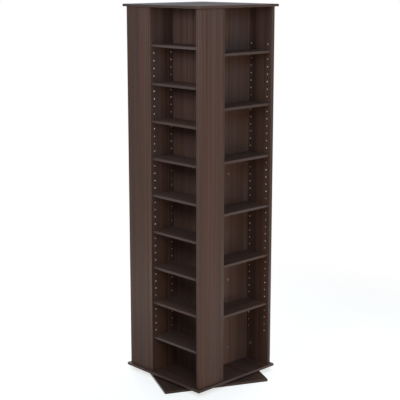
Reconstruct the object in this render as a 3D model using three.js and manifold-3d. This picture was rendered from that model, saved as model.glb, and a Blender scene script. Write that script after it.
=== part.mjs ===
// Four-sided spinning storage tower for discs, in millimetres, +Z up.
// The origin is on the floor, on the axis that the tower turns about.
// Four long dividers stand round a square shaft like the sails of a pinwheel. Each one is the back of
// one bay and, at its outer end, the left wall of the next bay. A narrow side panel closes the corner.
import * as THREE from 'three';
import { mergeGeometries, mergeVertices } from 'three/addons/utils/BufferGeometryUtils.js';
import Module from 'manifold-3d';

// Overall sizes
const towerHeight = 1632;
const bodySide = 444;
const bayDepth = 131;
const uprightThickness = 16;

// Top and bottom panels, and the board that stays on the floor
const panelThickness = 11;
const panelOverhang = 13;
const panelCornerRadius = 4;
const panelEdgeRadius = 2;
const baseSide = 470;
const baseThickness = 11;
const baseTurn = THREE.MathUtils.degToRad(-25.75);

// Hairline that is left wherever two pieces meet
const fitGap = 0.25;
// How far a cutter reaches past the face that it opens
const overrun = 2;

// Rows of holes for the shelf wires, in the walls of every bay
const holePitch = 32;
const lowestHoleHeight = 153.5;
const topHoleDrop = 150;
const holeDiameter = 5;
const holeDepthShare = 0.6;
const holeSides = 6;
const frontRowSetback = 23;
const wireSpan = 96;
const wireDiameter = 3.5;

// Shelves
const shelfThickness = 11;
const shelfRecess = 11;
const shelfBackGap = 1;
const shelfEndGap = 0.5;
const kerfSpare = 0.5;
const cdShelfCount = 9;
const dvdShelfCount = 6;
// Hole levels that stay free under the lowest shelf and over the highest one of a DVD bay
const dvdLevelsBelowCount = 4;
const dvdLevelsAboveCount = 1;

// Screws that pull the end of each divider against its neighbour
const screwDiameter = 5;
const screwLength = 48;
const screwCapDiameter = 12;
const screwCapThickness = 1.2;
const screwSides = 8;
// Their heights, as shares of the hole pitch above the lowest hole
const screwHeightShares = [-2.5, 7.5, 22.5];

// Cam lock between each side panel and the divider behind it
const camDiameter = 15;
const camDepthShare = 0.72;
const camSetback = 23;
const camHeightShare = -2.5;
const camSlotLengthShare = 0.6;
const camSlotWidthShare = 0.12;
const camSlotDepthShare = 0.15;
const camSides = 12;
const dowelDiameter = 6;
const dowelBiteShare = 0.55;
const dowelSides = 6;

// Turntable bearing between the base board and the bottom panel
const bearingHeight = 7;
const bearingPlateSide = 152;
const bearingPlateThickness = 1.2;
const bearingCornerRadius = 8;
const ballTrackRadius = 52;
const ballCount = 16;
const ballSteps = 4;
const ballSides = 6;
const cageWaistShare = 0.4;
const raceSides = 20;
const bearingScrewInset = 12;
const bearingScrewDiameter = 4;
const bearingScrewHeadDiameter = 8;
const bearingScrewHeadShare = 0.35;
const bearingScrewBiteShare = 0.7;

// Places worked out from the sizes above. Each bay is drawn with its opening towards -Y.
const half = bodySide / 2;
const bottomPanelZ = baseThickness + bearingHeight;
const floorZ = bottomPanelZ + panelThickness;
const ceilingZ = towerHeight - panelThickness;
const uprightZ = floorZ + fitGap;
const uprightHeight = ceilingZ - fitGap - uprightZ;
const frontY = -half;
const backFrontY = frontY + bayDepth;
const backRearY = backFrontY + uprightThickness;
const leftWallX = -half + bayDepth + uprightThickness;
const rightWallX = half - uprightThickness;
const lowestHoleZ = floorZ + lowestHoleHeight;
const holeRun = ceilingZ - topHoleDrop - lowestHoleZ;
const holeLevels = Math.floor(holeRun / holePitch) + 1;
const quarterTurn = Math.PI / 2;

const bays = [
  { name: 'front', media: 'cd' },
  { name: 'right', media: 'dvd' },
  { name: 'back', media: 'cd' },
  { name: 'left', media: 'dvd' },
];

const wasm = await Module();
wasm.setup();

const laminate = { color: 0x4a3d37, roughness: 0.55, metalness: 0 };
const shelfLaminate = { color: 0x43352f, roughness: 0.6, metalness: 0 };
const steel = { color: 0xb4b2ae, roughness: 0.35, metalness: 0.9 };
const plasticCap = { color: 0x5a4f4a, roughness: 0.4, metalness: 0 };

// Turn a closed three.js geometry into a solid that can be cut and joined
function solid(geometry) {
  const bare = geometry.clone();
  bare.deleteAttribute('normal');
  bare.deleteAttribute('uv');
  const shared = mergeVertices(bare);
  const vertProperties = new Float32Array(shared.attributes.position.array);
  const triVerts = new Uint32Array(shared.index.array);
  return new wasm.Manifold(new wasm.Mesh({ numProp: 3, vertProperties, triVerts }));
}

// Turn a finished solid back into a geometry
function geometryOf(body) {
  const mesh = body.getMesh();
  const geometry = new THREE.BufferGeometry();
  geometry.setAttribute('position', new THREE.BufferAttribute(mesh.vertProperties, mesh.numProp));
  geometry.setIndex(new THREE.BufferAttribute(mesh.triVerts, 1));
  geometry.computeVertexNormals();
  return geometry;
}

// Box between two corners
function block([x0, y0, z0], [x1, y1, z1]) {
  const geometry = new THREE.BoxGeometry(x1 - x0, y1 - y0, z1 - z0);
  return geometry.translate((x0 + x1) / 2, (y0 + y1) / 2, (z0 + z1) / 2);
}

// Round bar from a point along a direction
function bar(start, direction, length, diameter, sides) {
  const geometry = new THREE.CylinderGeometry(diameter / 2, diameter / 2, length, sides);
  geometry.translate(0, length / 2, 0);
  const up = new THREE.Vector3(0, 1, 0);
  const along = new THREE.Vector3(...direction);
  geometry.applyQuaternion(new THREE.Quaternion().setFromUnitVectors(up, along));
  return geometry.translate(...start);
}

// Pointed drill whose mouth is on a face, with its tip in the wood
function drill(mouth, inward, depth) {
  const length = depth + overrun;
  const mouthRadius = holeDiameter / 2;
  const geometry = new THREE.ConeGeometry(mouthRadius * length / depth, length, holeSides);
  geometry.translate(0, length / 2 - overrun, 0);
  const tip = new THREE.Vector3(0, 1, 0);
  const along = new THREE.Vector3(...inward);
  geometry.applyQuaternion(new THREE.Quaternion().setFromUnitVectors(tip, along));
  return geometry.translate(...mouth);
}

// Square plan with rounded corners
function roundedSquare(side, radius) {
  const h = side / 2;
  const r = radius;
  const shape = new THREE.Shape();
  shape.moveTo(-h + r, -h);
  shape.lineTo(h - r, -h);
  shape.absarc(h - r, -h + r, r, -quarterTurn, 0);
  shape.lineTo(h, h - r);
  shape.absarc(h - r, h - r, r, 0, quarterTurn);
  shape.lineTo(-h + r, h);
  shape.absarc(-h + r, h - r, r, quarterTurn, Math.PI);
  shape.lineTo(-h, -h + r);
  shape.absarc(-h + r, -h + r, r, Math.PI, Math.PI + quarterTurn);
  return shape;
}

// Board with rounded corners and softened edges, standing on z = 0
function softBoard(side, thickness) {
  const options = {
    depth: thickness - 2 * panelEdgeRadius,
    bevelEnabled: true,
    bevelThickness: panelEdgeRadius,
    bevelSize: panelEdgeRadius,
    bevelOffset: -panelEdgeRadius,
    bevelSegments: 2,
    curveSegments: 2,
  };
  const geometry = new THREE.ExtrudeGeometry(roundedSquare(side, panelCornerRadius), options);
  return geometry.translate(0, 0, panelEdgeRadius);
}

function namedMesh(name, geometry, look) {
  const mesh = new THREE.Mesh(geometry, new THREE.MeshStandardMaterial(look));
  mesh.name = name;
  return mesh;
}

// Which hole levels carry a shelf in a bay, counted up from the lowest hole.
// The shelves share out the levels evenly: every 5th level for CDs, every 7th for DVDs.
function shelfLevels(media) {
  const cd = media === 'cd';
  const count = cd ? cdShelfCount : dvdShelfCount;
  const below = cd ? 0 : dvdLevelsBelowCount;
  const above = cd ? 0 : dvdLevelsAboveCount;
  const highest = holeLevels - 1 - above;
  const step = Math.floor((highest - below) / (count - 1));
  return Array.from({ length: count }, (_, i) => below + i * step);
}

const levelHeight = (level) => lowestHoleZ - uprightZ + level * holePitch;
const shareHeight = (share) => levelHeight(0) + share * holePitch;

// The holes of one bay wall, and the bent wires that fill the holes where a shelf hangs.
// at(depth, out) gives the place in plan: depth back from the bay's mouth, out of the wall.
function wallFittings(media, at, inward) {
  const used = new Set(shelfLevels(media));
  const rows = [frontRowSetback, frontRowSetback + wireSpan];
  const holes = [];
  const wires = [];
  for (let level = 0; level < holeLevels; level += 1) {
    const z = levelHeight(level);
    if (used.has(level)) {
      const [x0, y0] = at(rows[0] - wireDiameter / 2, wireDiameter);
      const [x1, y1] = at(rows[1] + wireDiameter / 2, -wireDiameter / 2);
      const low = [Math.min(x0, x1), Math.min(y0, y1), z - wireDiameter / 2];
      const high = [Math.max(x0, x1), Math.max(y0, y1), z + wireDiameter / 2];
      wires.push(block(low, high));
    } else {
      for (const depth of rows) {
        const [x, y] = at(depth, 0);
        holes.push(drill([x, y, z], inward, uprightThickness * holeDepthShare));
      }
    }
  }
  return { holes: solid(mergeGeometries(holes)), wires: solid(mergeGeometries(wires)) };
}

// Divider: the back of this bay, and at its outer end the left wall of the next one
function dividerGeometry(nextMedia) {
  const low = [leftWallX + fitGap, backFrontY, 0];
  let body = solid(block(low, [half, backRearY, uprightHeight]));

  const nextWall = (depth, out) => [half - depth, backRearY + out];
  const fittings = wallFittings(nextMedia, nextWall, [0, -1, 0]);
  body = body.subtract(fittings.holes).add(fittings.wires);

  // Bores for the screws through this board, and for those that come into its inner end.
  // Their flats clear the shank by the gap.
  const bore = (screwDiameter + 2 * fitGap) / Math.cos(Math.PI / holeSides);
  const nextDividerX = half - bayDepth - uprightThickness / 2;
  const bite = screwLength - uprightThickness;
  for (const share of screwHeightShares) {
    const z = shareHeight(share);
    const through = [nextDividerX, backFrontY - overrun, z];
    const run = uprightThickness + 2 * overrun;
    body = body.subtract(solid(bar(through, [0, 1, 0], run, bore, holeSides)));
    const end = [leftWallX - overrun, backFrontY + uprightThickness / 2, z];
    body = body.subtract(solid(bar(end, [1, 0, 0], bite + overrun + fitGap, bore, holeSides)));
  }

  // Bore for the cam dowel of the side panel that stands in front of this end
  const dowelBore = dowelDiameter + 2 * fitGap;
  const dowelDepth = uprightThickness * dowelBiteShare + fitGap;
  const dowelStart = [half - uprightThickness / 2, backFrontY - overrun, shareHeight(camHeightShare)];
  const dowelRun = dowelDepth + overrun;
  body = body.subtract(solid(bar(dowelStart, [0, 1, 0], dowelRun, dowelBore, dowelSides)));
  return geometryOf(body);
}

// Side panel: closes the corner at the right of the bay, and carries the right ends of its shelves
function sidePanelGeometry(media) {
  const endY = backFrontY - fitGap;
  let body = solid(block([rightWallX, frontY, 0], [half, endY, uprightHeight]));

  const rightWall = (depth, out) => [rightWallX - out, frontY + depth];
  const fittings = wallFittings(media, rightWall, [1, 0, 0]);
  body = body.subtract(fittings.holes).add(fittings.wires);

  const z = shareHeight(camHeightShare);
  const camY = backFrontY - camSetback;
  const pocket = uprightThickness * camDepthShare + fitGap;
  const pocketDiameter = camDiameter + 2 * fitGap;
  const pocketStart = [rightWallX - overrun, camY, z];
  body = body.subtract(solid(bar(pocketStart, [1, 0, 0], pocket + overrun, pocketDiameter, camSides)));
  const tunnelStart = [half - uprightThickness / 2, camY, z];
  const tunnel = bar(tunnelStart, [0, 1, 0], camSetback + overrun, dowelDiameter + 2 * fitGap, dowelSides);
  body = body.subtract(solid(tunnel));
  return geometryOf(body);
}

// Shelf, drawn with its front edge on y = 0 and its middle on z = 0.
// A kerf in each end slides over the wire in the wall, and stops short of the front edge.
function shelfGeometry() {
  const width = rightWallX - leftWallX - 2 * shelfEndGap;
  const depth = bayDepth - shelfRecess - shelfBackGap;
  const board = block([-width / 2, 0, -shelfThickness / 2], [width / 2, depth, shelfThickness / 2]);
  const kerfDepth = wireDiameter - shelfEndGap + kerfSpare;
  const kerfHalf = wireDiameter / 2 + fitGap;
  const kerfFront = frontRowSetback - wireDiameter / 2 - fitGap - shelfRecess;
  const inner = width / 2 - kerfDepth;
  const outer = width / 2 + overrun;
  const back = depth + overrun;
  const kerfs = mergeGeometries([
    block([inner, kerfFront, -kerfHalf], [outer, back, kerfHalf]),
    block([-outer, kerfFront, -kerfHalf], [-inner, back, kerfHalf]),
  ]);
  return geometryOf(solid(board).subtract(solid(kerfs)));
}

// Screw with its cap, pointing along +Y, with the cap's inner face on y = 0
function jointScrewGeometry() {
  const cap = screwCapDiameter / 2;
  const shank = screwDiameter / 2;
  const profile = [
    new THREE.Vector2(0, -screwCapThickness),
    new THREE.Vector2(cap, -screwCapThickness / 2),
    new THREE.Vector2(cap, 0),
    new THREE.Vector2(shank, 0),
    new THREE.Vector2(shank, screwLength - screwDiameter),
    new THREE.Vector2(0, screwLength - fitGap),
  ];
  return new THREE.LatheGeometry(profile, screwSides);
}

// Cam in its pocket, with its slotted face on x = 0, and the dowel that it grips, along +Y
function camLockGeometry() {
  const depth = uprightThickness * camDepthShare;
  const slotLength = camDiameter * camSlotLengthShare;
  const slotWidth = camDiameter * camSlotWidthShare;
  const slotDepth = depth * camSlotDepthShare;
  const middle = uprightThickness / 2;
  const dowelLength = camSetback + uprightThickness * dowelBiteShare;
  const disc = bar([0, 0, 0], [1, 0, 0], depth, camDiameter, camSides);
  const dowel = bar([middle, 0, 0], [0, 1, 0], dowelLength, dowelDiameter, dowelSides);
  const slot = block([-overrun, -slotLength / 2, -slotWidth / 2], [slotDepth, slotLength / 2, slotWidth / 2]);
  const crossSlot = slot.clone().rotateX(quarterTurn);
  const body = solid(disc).subtract(solid(slot)).subtract(solid(crossSlot));
  return geometryOf(body.add(solid(dowel)));
}

// Height between the two bearing plates, and the balls that fill it
const raceHeight = bearingHeight - 2 * (fitGap + bearingPlateThickness);
const ballRadius = raceHeight / 2 - fitGap;
const bearingHeadHeight = raceHeight * bearingScrewHeadShare;

// The four screw places of a bearing plate, in plan
function bearingScrewPlaces() {
  const reach = bearingPlateSide / 2 - bearingScrewInset;
  return [[-reach, -reach], [reach, -reach], [reach, reach], [-reach, reach]];
}

function bearingScrewBite(boardThickness) {
  return boardThickness * bearingScrewBiteShare;
}

// Pilot holes for the bearing screws, downwards from z = 0
function bearingPilots(boardThickness) {
  const bore = bearingScrewDiameter + 2 * fitGap;
  const depth = bearingScrewBite(boardThickness) + fitGap;
  const bars = bearingScrewPlaces().map(([x, y]) => bar([x, y, -depth], [0, 0, 1], depth + overrun, bore, holeSides));
  return solid(mergeGeometries(bars));
}

// Bearing plate on z = 0: a pressed square with a collar round its race, and its four screws.
// The collar and the screw heads stand up from it, and the screws point down.
function bearingPlate(collarInnerRadius, boardThickness) {
  const windowRadius = ballTrackRadius - ballRadius - fitGap - bearingPlateThickness;
  const shape = roundedSquare(bearingPlateSide, bearingCornerRadius);
  const window = new THREE.Path();
  window.absarc(0, 0, windowRadius, 0, 2 * Math.PI, true);
  shape.holes.push(window);
  const options = { depth: bearingPlateThickness, bevelEnabled: false, curveSegments: raceSides / 4 };
  let body = solid(new THREE.ExtrudeGeometry(shape, options));

  const collarOuterRadius = collarInnerRadius + bearingPlateThickness;
  const collarTop = bearingPlateThickness + raceHeight - 2 * fitGap;
  const root = bearingPlateThickness / 2;
  const profile = [
    new THREE.Vector2(collarInnerRadius, root),
    new THREE.Vector2(collarOuterRadius, root),
    new THREE.Vector2(collarOuterRadius, collarTop),
    new THREE.Vector2(collarInnerRadius, collarTop),
    new THREE.Vector2(collarInnerRadius, root),
  ];
  body = body.add(solid(new THREE.LatheGeometry(profile, raceSides).rotateX(quarterTurn)));

  const bite = bearingScrewBite(boardThickness);
  const headTop = bearingPlateThickness + bearingHeadHeight;
  for (const [x, y] of bearingScrewPlaces()) {
    const shank = bar([x, y, -bite], [0, 0, 1], bite + headTop - root, bearingScrewDiameter, holeSides);
    const head = bar([x, y, root], [0, 0, 1], headTop - root, bearingScrewHeadDiameter, holeSides);
    body = body.add(solid(shank)).add(solid(head));
  }
  return body;
}

// Ring of balls in its cage: a ring whose section swells at every ball
function ballRingGeometry() {
  const steps = ballCount * ballSteps;
  const positions = [];
  const index = [];
  for (let i = 0; i < steps; i += 1) {
    const angle = 2 * Math.PI * i / steps;
    const swell = (1 + Math.cos(2 * Math.PI * i / ballSteps)) / 2;
    const radius = ballRadius * (cageWaistShare + (1 - cageWaistShare) * swell);
    for (let j = 0; j < ballSides; j += 1) {
      const around = 2 * Math.PI * j / ballSides;
      const reach = ballTrackRadius + radius * Math.cos(around);
      positions.push(reach * Math.cos(angle), reach * Math.sin(angle), radius * Math.sin(around));
      const a = i * ballSides + j;
      const b = i * ballSides + (j + 1) % ballSides;
      const c = ((i + 1) % steps) * ballSides + j;
      const d = ((i + 1) % steps) * ballSides + (j + 1) % ballSides;
      index.push(a, c, b, b, c, d);
    }
  }
  const geometry = new THREE.BufferGeometry();
  geometry.setAttribute('position', new THREE.Float32BufferAttribute(positions, 3));
  geometry.setIndex(index);
  geometry.computeVertexNormals();
  return geometry;
}

// The part that stays on the floor
function makeBase() {
  const base = new THREE.Group();
  base.rotation.z = baseTurn;
  const board = solid(softBoard(baseSide, baseThickness).translate(0, 0, -baseThickness));
  const drilled = geometryOf(board.subtract(bearingPilots(baseThickness)));
  const baseBoard = namedMesh('base_board', drilled, laminate);
  baseBoard.position.z = baseThickness;
  base.add(baseBoard);

  const collarRadius = ballTrackRadius - ballRadius - fitGap - bearingPlateThickness;
  const plate = namedMesh('bearing_lower_plate', geometryOf(bearingPlate(collarRadius, baseThickness)), steel);
  plate.position.z = baseThickness + fitGap;
  base.add(plate);
  return base;
}

function makeBallRing() {
  const ring = namedMesh('ball_ring', ballRingGeometry(), steel);
  ring.position.z = baseThickness + fitGap + bearingPlateThickness + raceHeight / 2;
  return ring;
}

// Top and bottom panels, and the upper plate of the bearing
function makePanels() {
  const panels = new THREE.Group();
  const side = bodySide + 2 * panelOverhang;
  const top = namedMesh('top_panel', softBoard(side, panelThickness), laminate);
  top.position.z = ceilingZ;

  const pilots = bearingPilots(panelThickness).rotate([180, 0, 0]);
  const bottomBody = solid(softBoard(side, panelThickness)).subtract(pilots);
  const bottom = namedMesh('bottom_panel', geometryOf(bottomBody), laminate);
  bottom.position.z = bottomPanelZ;

  const collarRadius = (ballTrackRadius + ballRadius + fitGap) / Math.cos(Math.PI / raceSides);
  const plate = namedMesh('bearing_upper_plate', geometryOf(bearingPlate(collarRadius, panelThickness)), steel);
  plate.rotation.x = Math.PI;
  plate.position.z = bottomPanelZ - fitGap;
  panels.add(top, bottom, plate);
  return panels;
}

// One quarter of the body: a bay's back, its right-hand side panel, its shelves and its fasteners
function makeQuarter(number) {
  const quarter = new THREE.Group();
  quarter.rotation.z = number * quarterTurn;
  const bay = bays[number];
  const next = bays[(number + 1) % bays.length];

  const divider = namedMesh(`divider_${bay.name}`, dividerGeometry(next.media), laminate);
  const side = namedMesh(`side_panel_${bay.name}`, sidePanelGeometry(bay.media), laminate);
  divider.position.z = uprightZ;
  side.position.z = uprightZ;
  quarter.add(divider, side);

  const shelf = shelfGeometry();
  const levels = shelfLevels(bay.media).reverse();
  levels.forEach((level, i) => {
    const board = namedMesh(`${bay.media}_shelf_${bay.name}_${i + 1}`, shelf, shelfLaminate);
    board.position.set((leftWallX + rightWallX) / 2, frontY + shelfRecess, uprightZ + levelHeight(level));
    quarter.add(board);
  });

  const screw = jointScrewGeometry();
  screwHeightShares.forEach((share, i) => {
    const mesh = namedMesh(`joint_screw_${bay.name}_${i + 1}`, screw, plasticCap);
    const x = half - bayDepth - uprightThickness / 2;
    mesh.position.set(x, backFrontY - fitGap, uprightZ + shareHeight(share));
    quarter.add(mesh);
  });

  const cam = namedMesh(`cam_lock_${bay.name}`, camLockGeometry(), steel);
  cam.position.set(rightWallX, backFrontY - camSetback, uprightZ + shareHeight(camHeightShare));
  quarter.add(cam);
  return quarter;
}

const tower = new THREE.Group();
tower.add(makeBase(), makeBallRing(), makePanels());
for (let number = 0; number < bays.length; number += 1) {
  tower.add(makeQuarter(number));
}

export default tower;
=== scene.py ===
# %% [markdown]
# This is a spinning storage tower for discs, 1.63 m tall and 0.44 m square, in dark wood-grain laminate.
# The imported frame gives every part's place in metres, with +Z up and the floor at zero. Its parts could be
# shown as they are, but they are coarse and faceted. So each visible part is drawn again here as a surface
# that numpy works out, and it then rides on the body that it belongs to.

# %% Frame and tools
import math

import bpy
import numpy as np
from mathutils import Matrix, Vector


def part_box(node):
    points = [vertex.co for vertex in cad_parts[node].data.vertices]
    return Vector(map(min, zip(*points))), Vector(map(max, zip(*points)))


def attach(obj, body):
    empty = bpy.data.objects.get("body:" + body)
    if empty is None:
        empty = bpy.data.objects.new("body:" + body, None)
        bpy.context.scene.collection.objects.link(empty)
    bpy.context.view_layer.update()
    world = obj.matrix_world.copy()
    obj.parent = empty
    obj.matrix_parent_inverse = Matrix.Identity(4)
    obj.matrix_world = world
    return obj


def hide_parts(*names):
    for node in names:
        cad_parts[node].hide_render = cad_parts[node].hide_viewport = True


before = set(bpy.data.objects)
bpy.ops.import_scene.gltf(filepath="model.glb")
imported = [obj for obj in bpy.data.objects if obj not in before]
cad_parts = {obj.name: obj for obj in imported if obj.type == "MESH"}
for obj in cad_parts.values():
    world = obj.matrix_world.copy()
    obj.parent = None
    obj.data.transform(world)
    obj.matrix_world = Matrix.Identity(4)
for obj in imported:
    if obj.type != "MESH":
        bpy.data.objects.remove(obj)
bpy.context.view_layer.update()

# %% [markdown]
# Four long dividers stand round a square shaft like the sails of a pinwheel, and a narrow side panel closes
# each corner. The quarters differ only in their shelves, so each is drawn with its bay facing -Y and then
# turned into place. The sizes could all be typed in, but then they might drift from the frame. So they are
# read from the boxes of the frame's parts where they can be, and the rest are written in millimetres.

# %% Sizes
MM = 0.001
QUARTER_TURN = math.pi / 2

TOP_LOW, TOP_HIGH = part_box("top_panel")
BOTTOM_LOW, BOTTOM_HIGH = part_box("bottom_panel")
SIDE_LOW, SIDE_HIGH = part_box("side_panel_front")

HALF_BODY = SIDE_HIGH.x
BOARD = 16 * MM
BAY_DEPTH = 131 * MM
RIGHT_WALL = HALF_BODY - BOARD
LEFT_WALL = BAY_DEPTH + BOARD - HALF_BODY
BACK_WALL = BAY_DEPTH - HALF_BODY
UPRIGHT_FOOT = SIDE_LOW.z
UPRIGHT_HEIGHT = SIDE_HIGH.z - SIDE_LOW.z
BASE_TURN = math.radians(-25.75)
# A hair's gap between boards that touch, so that their faces don't flicker through each other.
HAIRLINE = 0.25 * MM

# Each bay with what it holds, in quarter turns from the front.
BAYS = (("front", "cd"), ("right", "dvd"), ("back", "cd"), ("left", "dvd"))
print("body half width", round(HALF_BODY, 4), "upright height", round(UPRIGHT_HEIGHT, 4))

# %% [markdown]
# The camera stands where the photograph's did, a little above the top panel and in front of the corner
# between two bays. The photograph was taken level and cropped low, which keeps the uprights parallel, and
# a large shift of the lens would copy that. But such a shift would push the tower out of every other view,
# so here the camera looks down by eleven degrees and keeps only a small shift.

# %% Camera
IMAGE_SIDE = 400
FOCAL_PIXELS = 1041.1
SHIFT_PIXELS = -16
SENSOR = 36.0
CAMERA_PLACE = (3.226, -3.084, 1.760)
CAMERA_YAW = 46.32
CAMERA_PITCH = -11.47

camera_data = bpy.data.cameras.new("photo_camera")
camera_data.sensor_width = SENSOR
camera_data.lens = FOCAL_PIXELS / IMAGE_SIDE * SENSOR
camera_data.shift_y = SHIFT_PIXELS / IMAGE_SIDE
camera = bpy.data.objects.new("photo_camera", camera_data)
camera.location = CAMERA_PLACE
camera.rotation_euler = (math.radians(90 + CAMERA_PITCH), 0.0, math.radians(CAMERA_YAW))
bpy.context.scene.collection.objects.link(camera)
bpy.context.scene.camera = camera
bpy.context.scene.view_settings.view_transform = "Standard"
print("lens in millimetres:", round(camera_data.lens, 1))

# %% [markdown]
# A material in Blender is a graph of nodes. It could be built by hand in the shader editor, or written out
# with a line for every socket. These helpers add a node, set its plain inputs and link its other inputs in
# one call, so that each finish below reads as a short recipe.


# %% Node helpers
def add_node(tree, kind, settings=None, **inputs):
    """One shader node. Settings are its options. An input is a plain value or another node's output."""
    node = tree.nodes.new(kind)
    for key, value in (settings or {}).items():
        setattr(node, key, value)
    for key, value in inputs.items():
        numbered = key[0] == "i" and key[1:].isdigit()
        socket = node.inputs[int(key[1:]) if numbered else key.replace("_", " ")]
        if isinstance(value, bpy.types.NodeSocket):
            tree.links.new(value, socket)
        else:
            socket.default_value = value
    return node


def new_material(name):
    """An empty node material with its Principled shader already linked to the output."""
    material = bpy.data.materials.new(name)
    material.use_nodes = True
    tree = material.node_tree
    tree.nodes.clear()
    shader = tree.nodes.new("ShaderNodeBsdfPrincipled")
    output = tree.nodes.new("ShaderNodeOutputMaterial")
    tree.links.new(shader.outputs["BSDF"], output.inputs["Surface"])
    return material, tree, shader


def object_place(tree):
    """The place of a point in metres, which stays with the object when it moves."""
    return add_node(tree, "ShaderNodeTexCoord").outputs["Object"]


def remapped(tree, value, from_range, to_range):
    """A value moved from one range to another, and held inside the second."""
    node = add_node(
        tree, "ShaderNodeMapRange", Value=value, From_Min=from_range[0], From_Max=from_range[1],
        To_Min=to_range[0], To_Max=to_range[1],
    )
    return node.outputs["Result"]


def blended(tree, factor, first, second):
    """Two colours mixed by a factor."""
    return add_node(tree, "ShaderNodeMix", {"data_type": "RGBA"}, i0=factor, i6=first, i7=second).outputs[2]


def dented(tree, shader, height, strength, depth, sunk=False):
    """Dents in a shader's surface, from a height of 0 to 1 over a depth in metres. Sunk turns it round."""
    bump = add_node(
        tree, "ShaderNodeBump", {"invert": sunk}, Strength=strength, Distance=depth, Height=height
    )
    tree.links.new(bump.outputs["Normal"], shader.inputs["Normal"])


# %% [markdown]
# The photograph is a plain studio shot. The upper compartments are lit to their backs, the lower ones sink
# into the shade of their shelves, and the outer faces are even. A bright world or a sun would light all
# the compartments alike, so softboxes do the work, in pairs on opposite sides of the tower, and no side is
# the dark one. The key and the second hang high and close before the bays and look deep into the upper
# compartments, in cool light. The fill lights the faces at mid height in warm light. The side and the foot
# stand low, and give the lower ends of the outer faces what the high lamps don't reach.

# %% Lamps
COLD = (0.58, 1.0, 1.42)
COOL = (0.80, 1.0, 1.22)
WARM = (1.05, 1.0, 0.95)


def softbox(name, azimuth, distance, height, aim, size, watts, tint):
    """Flat lamp on a circle round the tower, turned towards a height on its axis. Azimuth 0 faces -Y."""
    lamp = bpy.data.lights.new(name, "AREA")
    lamp.shape = "RECTANGLE"
    lamp.size, lamp.size_y = size
    lamp.energy = watts
    lamp.color = tint
    box = bpy.data.objects.new(name, lamp)
    angle = math.radians(azimuth)
    box.location = (math.sin(angle) * distance, -math.cos(angle) * distance, height)
    box.rotation_euler = (math.atan2(distance, height - aim), 0.0, angle)
    bpy.context.scene.collection.objects.link(box)


def softbox_pair(name, azimuth, **setting):
    """The same softbox on two opposite sides of the tower."""
    softbox(name, azimuth, **setting)
    softbox("rear_" + name, azimuth + 180.0, **setting)


softbox_pair("key", 12.0, distance=1.55, height=1.9, aim=1.2, size=(0.8, 0.6), watts=16.6, tint=COOL)
softbox_pair("second", 75.0, distance=1.5, height=2.0, aim=1.2, size=(0.8, 0.6), watts=11.0, tint=COLD)
softbox_pair("fill", 66.0, distance=2.4, height=0.9, aim=0.85, size=(1.2, 1.2), watts=16.5, tint=WARM)
softbox_pair("side", 119.0, distance=2.0, height=0.35, aim=0.25, size=(1.2, 0.5), watts=3.5, tint=WARM)
softbox_pair("foot", 124.0, distance=1.1, height=0.12, aim=0.12, size=(0.7, 0.18), watts=2.4, tint=WARM)
print("softboxes:", len(bpy.data.lights))
print("watts in all:", round(sum(lamp.energy for lamp in bpy.data.lights), 1))

# %% [markdown]
# The background is pure white. A white world would be the simple way, but it would flood the dark
# compartments with light. So the world gives almost no light, and only the rays that come straight from
# the camera, a mirror or a glass see it as white.

# %% White backdrop
WORLD_LIGHT = 0.04
WHITE = (1.0, 1.0, 1.0, 1.0)


def larger(tree, first, second):
    """The larger of two values."""
    return add_node(tree, "ShaderNodeMath", {"operation": "MAXIMUM"}, i0=first, i1=second).outputs["Value"]


def seen_rays(tree):
    """One for the rays of the camera, a mirror or a glass, and zero for the rays that carry light."""
    rays = add_node(tree, "ShaderNodeLightPath").outputs
    bent = larger(tree, rays["Is Glossy Ray"], rays["Is Transmission Ray"])
    return larger(tree, rays["Is Camera Ray"], bent)


world = bpy.data.worlds.new("studio")
world.use_nodes = True
bpy.context.scene.world = world
sky = world.node_tree
backdrop = sky.nodes["Background"]
backdrop.inputs["Color"].default_value = WHITE
sky.links.new(remapped(sky, seen_rays(sky), (0.0, 1.0), (WORLD_LIGHT, 1.0)), backdrop.inputs["Strength"])
print("the world's own light:", WORLD_LIGHT)

# %% [markdown]
# The floor is white studio paper that keeps the tower's shadow. Paper lit until it is white would throw
# its own light up at the tower. So for the light it is a plain grey, and for the camera it is a pale sheet
# with a glow of its own, which still shows the shadow and fades into the white backdrop further out.

# %% Pale floor
FLOOR_SIDE = 16.0
FLOOR_GREY = (0.60, 0.60, 0.60, 1.0)
FLOOR_PALE = (0.56, 0.515, 0.46, 1.0)
FLOOR_GLOW = 0.66
FADE_FROM = 0.8
FADE_TO = 2.0


def floor_material():
    """Grey for the light's rays. For the camera, pale paper that fades to white with distance."""
    material = bpy.data.materials.new("pale_floor")
    material.use_nodes = True
    tree = material.node_tree
    tree.nodes.clear()
    reach = add_node(tree, "ShaderNodeVectorMath", {"operation": "LENGTH"}, i0=object_place(tree))
    fade = add_node(
        tree, "ShaderNodeMapRange", {"interpolation_type": "SMOOTHSTEP"},
        Value=reach.outputs["Value"], From_Min=FADE_FROM, From_Max=FADE_TO,
    )
    grey = add_node(tree, "ShaderNodeBsdfDiffuse", Color=FLOOR_GREY)
    pale = add_node(tree, "ShaderNodeBsdfDiffuse", Color=FLOOR_PALE)
    glow = add_node(tree, "ShaderNodeEmission", Strength=FLOOR_GLOW)
    paper = add_node(tree, "ShaderNodeAddShader", i0=pale.outputs["BSDF"], i1=glow.outputs["Emission"])
    white = add_node(tree, "ShaderNodeEmission", Strength=1.0)
    near_far = add_node(
        tree, "ShaderNodeMixShader", i0=fade.outputs["Result"],
        i1=paper.outputs["Shader"], i2=white.outputs["Emission"],
    )
    choice = add_node(
        tree, "ShaderNodeMixShader", i0=seen_rays(tree),
        i1=grey.outputs["BSDF"], i2=near_far.outputs["Shader"],
    )
    output = tree.nodes.new("ShaderNodeOutputMaterial")
    tree.links.new(choice.outputs["Shader"], output.inputs["Surface"])
    return material


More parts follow.
